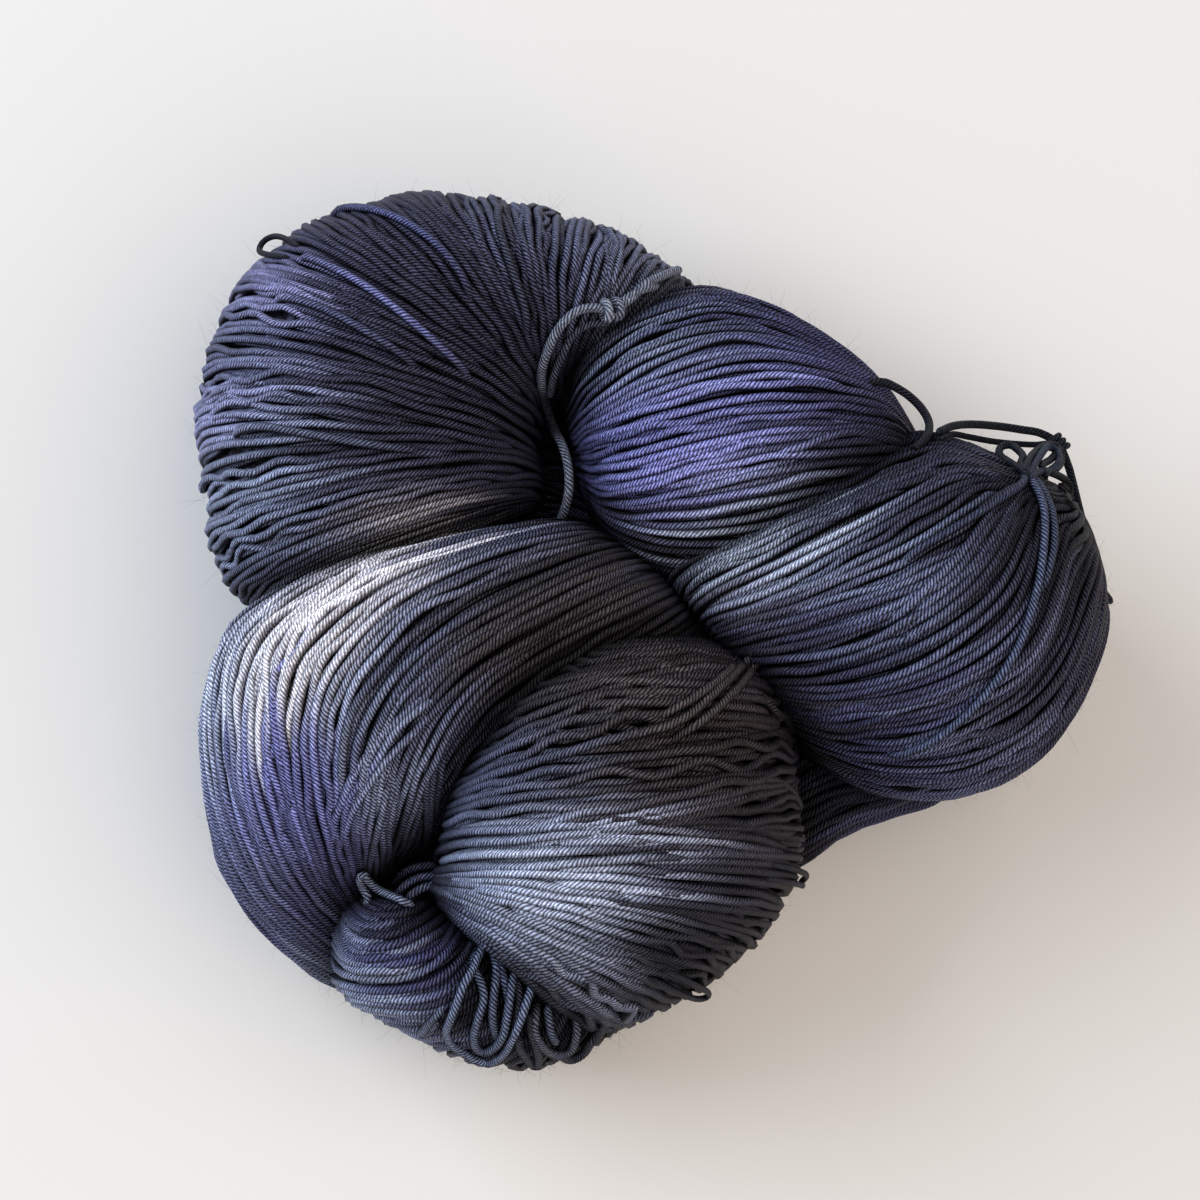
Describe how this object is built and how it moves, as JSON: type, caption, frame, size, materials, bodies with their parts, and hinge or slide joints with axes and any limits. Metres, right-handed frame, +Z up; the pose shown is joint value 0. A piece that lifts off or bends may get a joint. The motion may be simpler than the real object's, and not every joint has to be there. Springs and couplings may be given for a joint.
{
  "type": "skein of yarn",
  "caption": "Twisted and tucked skein of fine plied sock yarn, wound in fat lobes round two folds, with knotted tie strands, resting flat.",
  "frame": {"origin": "on the resting surface, under the middle of the skein's box", "axes": "+Z up; +X towards the tied end of the hank; +Y towards the back lobes"},
  "size_m": [0.1308, 0.1256, 0.0625],
  "materials": {
    "yarn": "matt, hand-dyed plied wool",
    "ties": "matt, plied wool"
  },
  "bodies": {
    "root": {"skein": "yarn", "slack_strand": "yarn", "tie_upper": "ties", "knot_upper": "ties", "tie_right": "ties", "knot_right": "ties"}
  },
  "joints": []
}
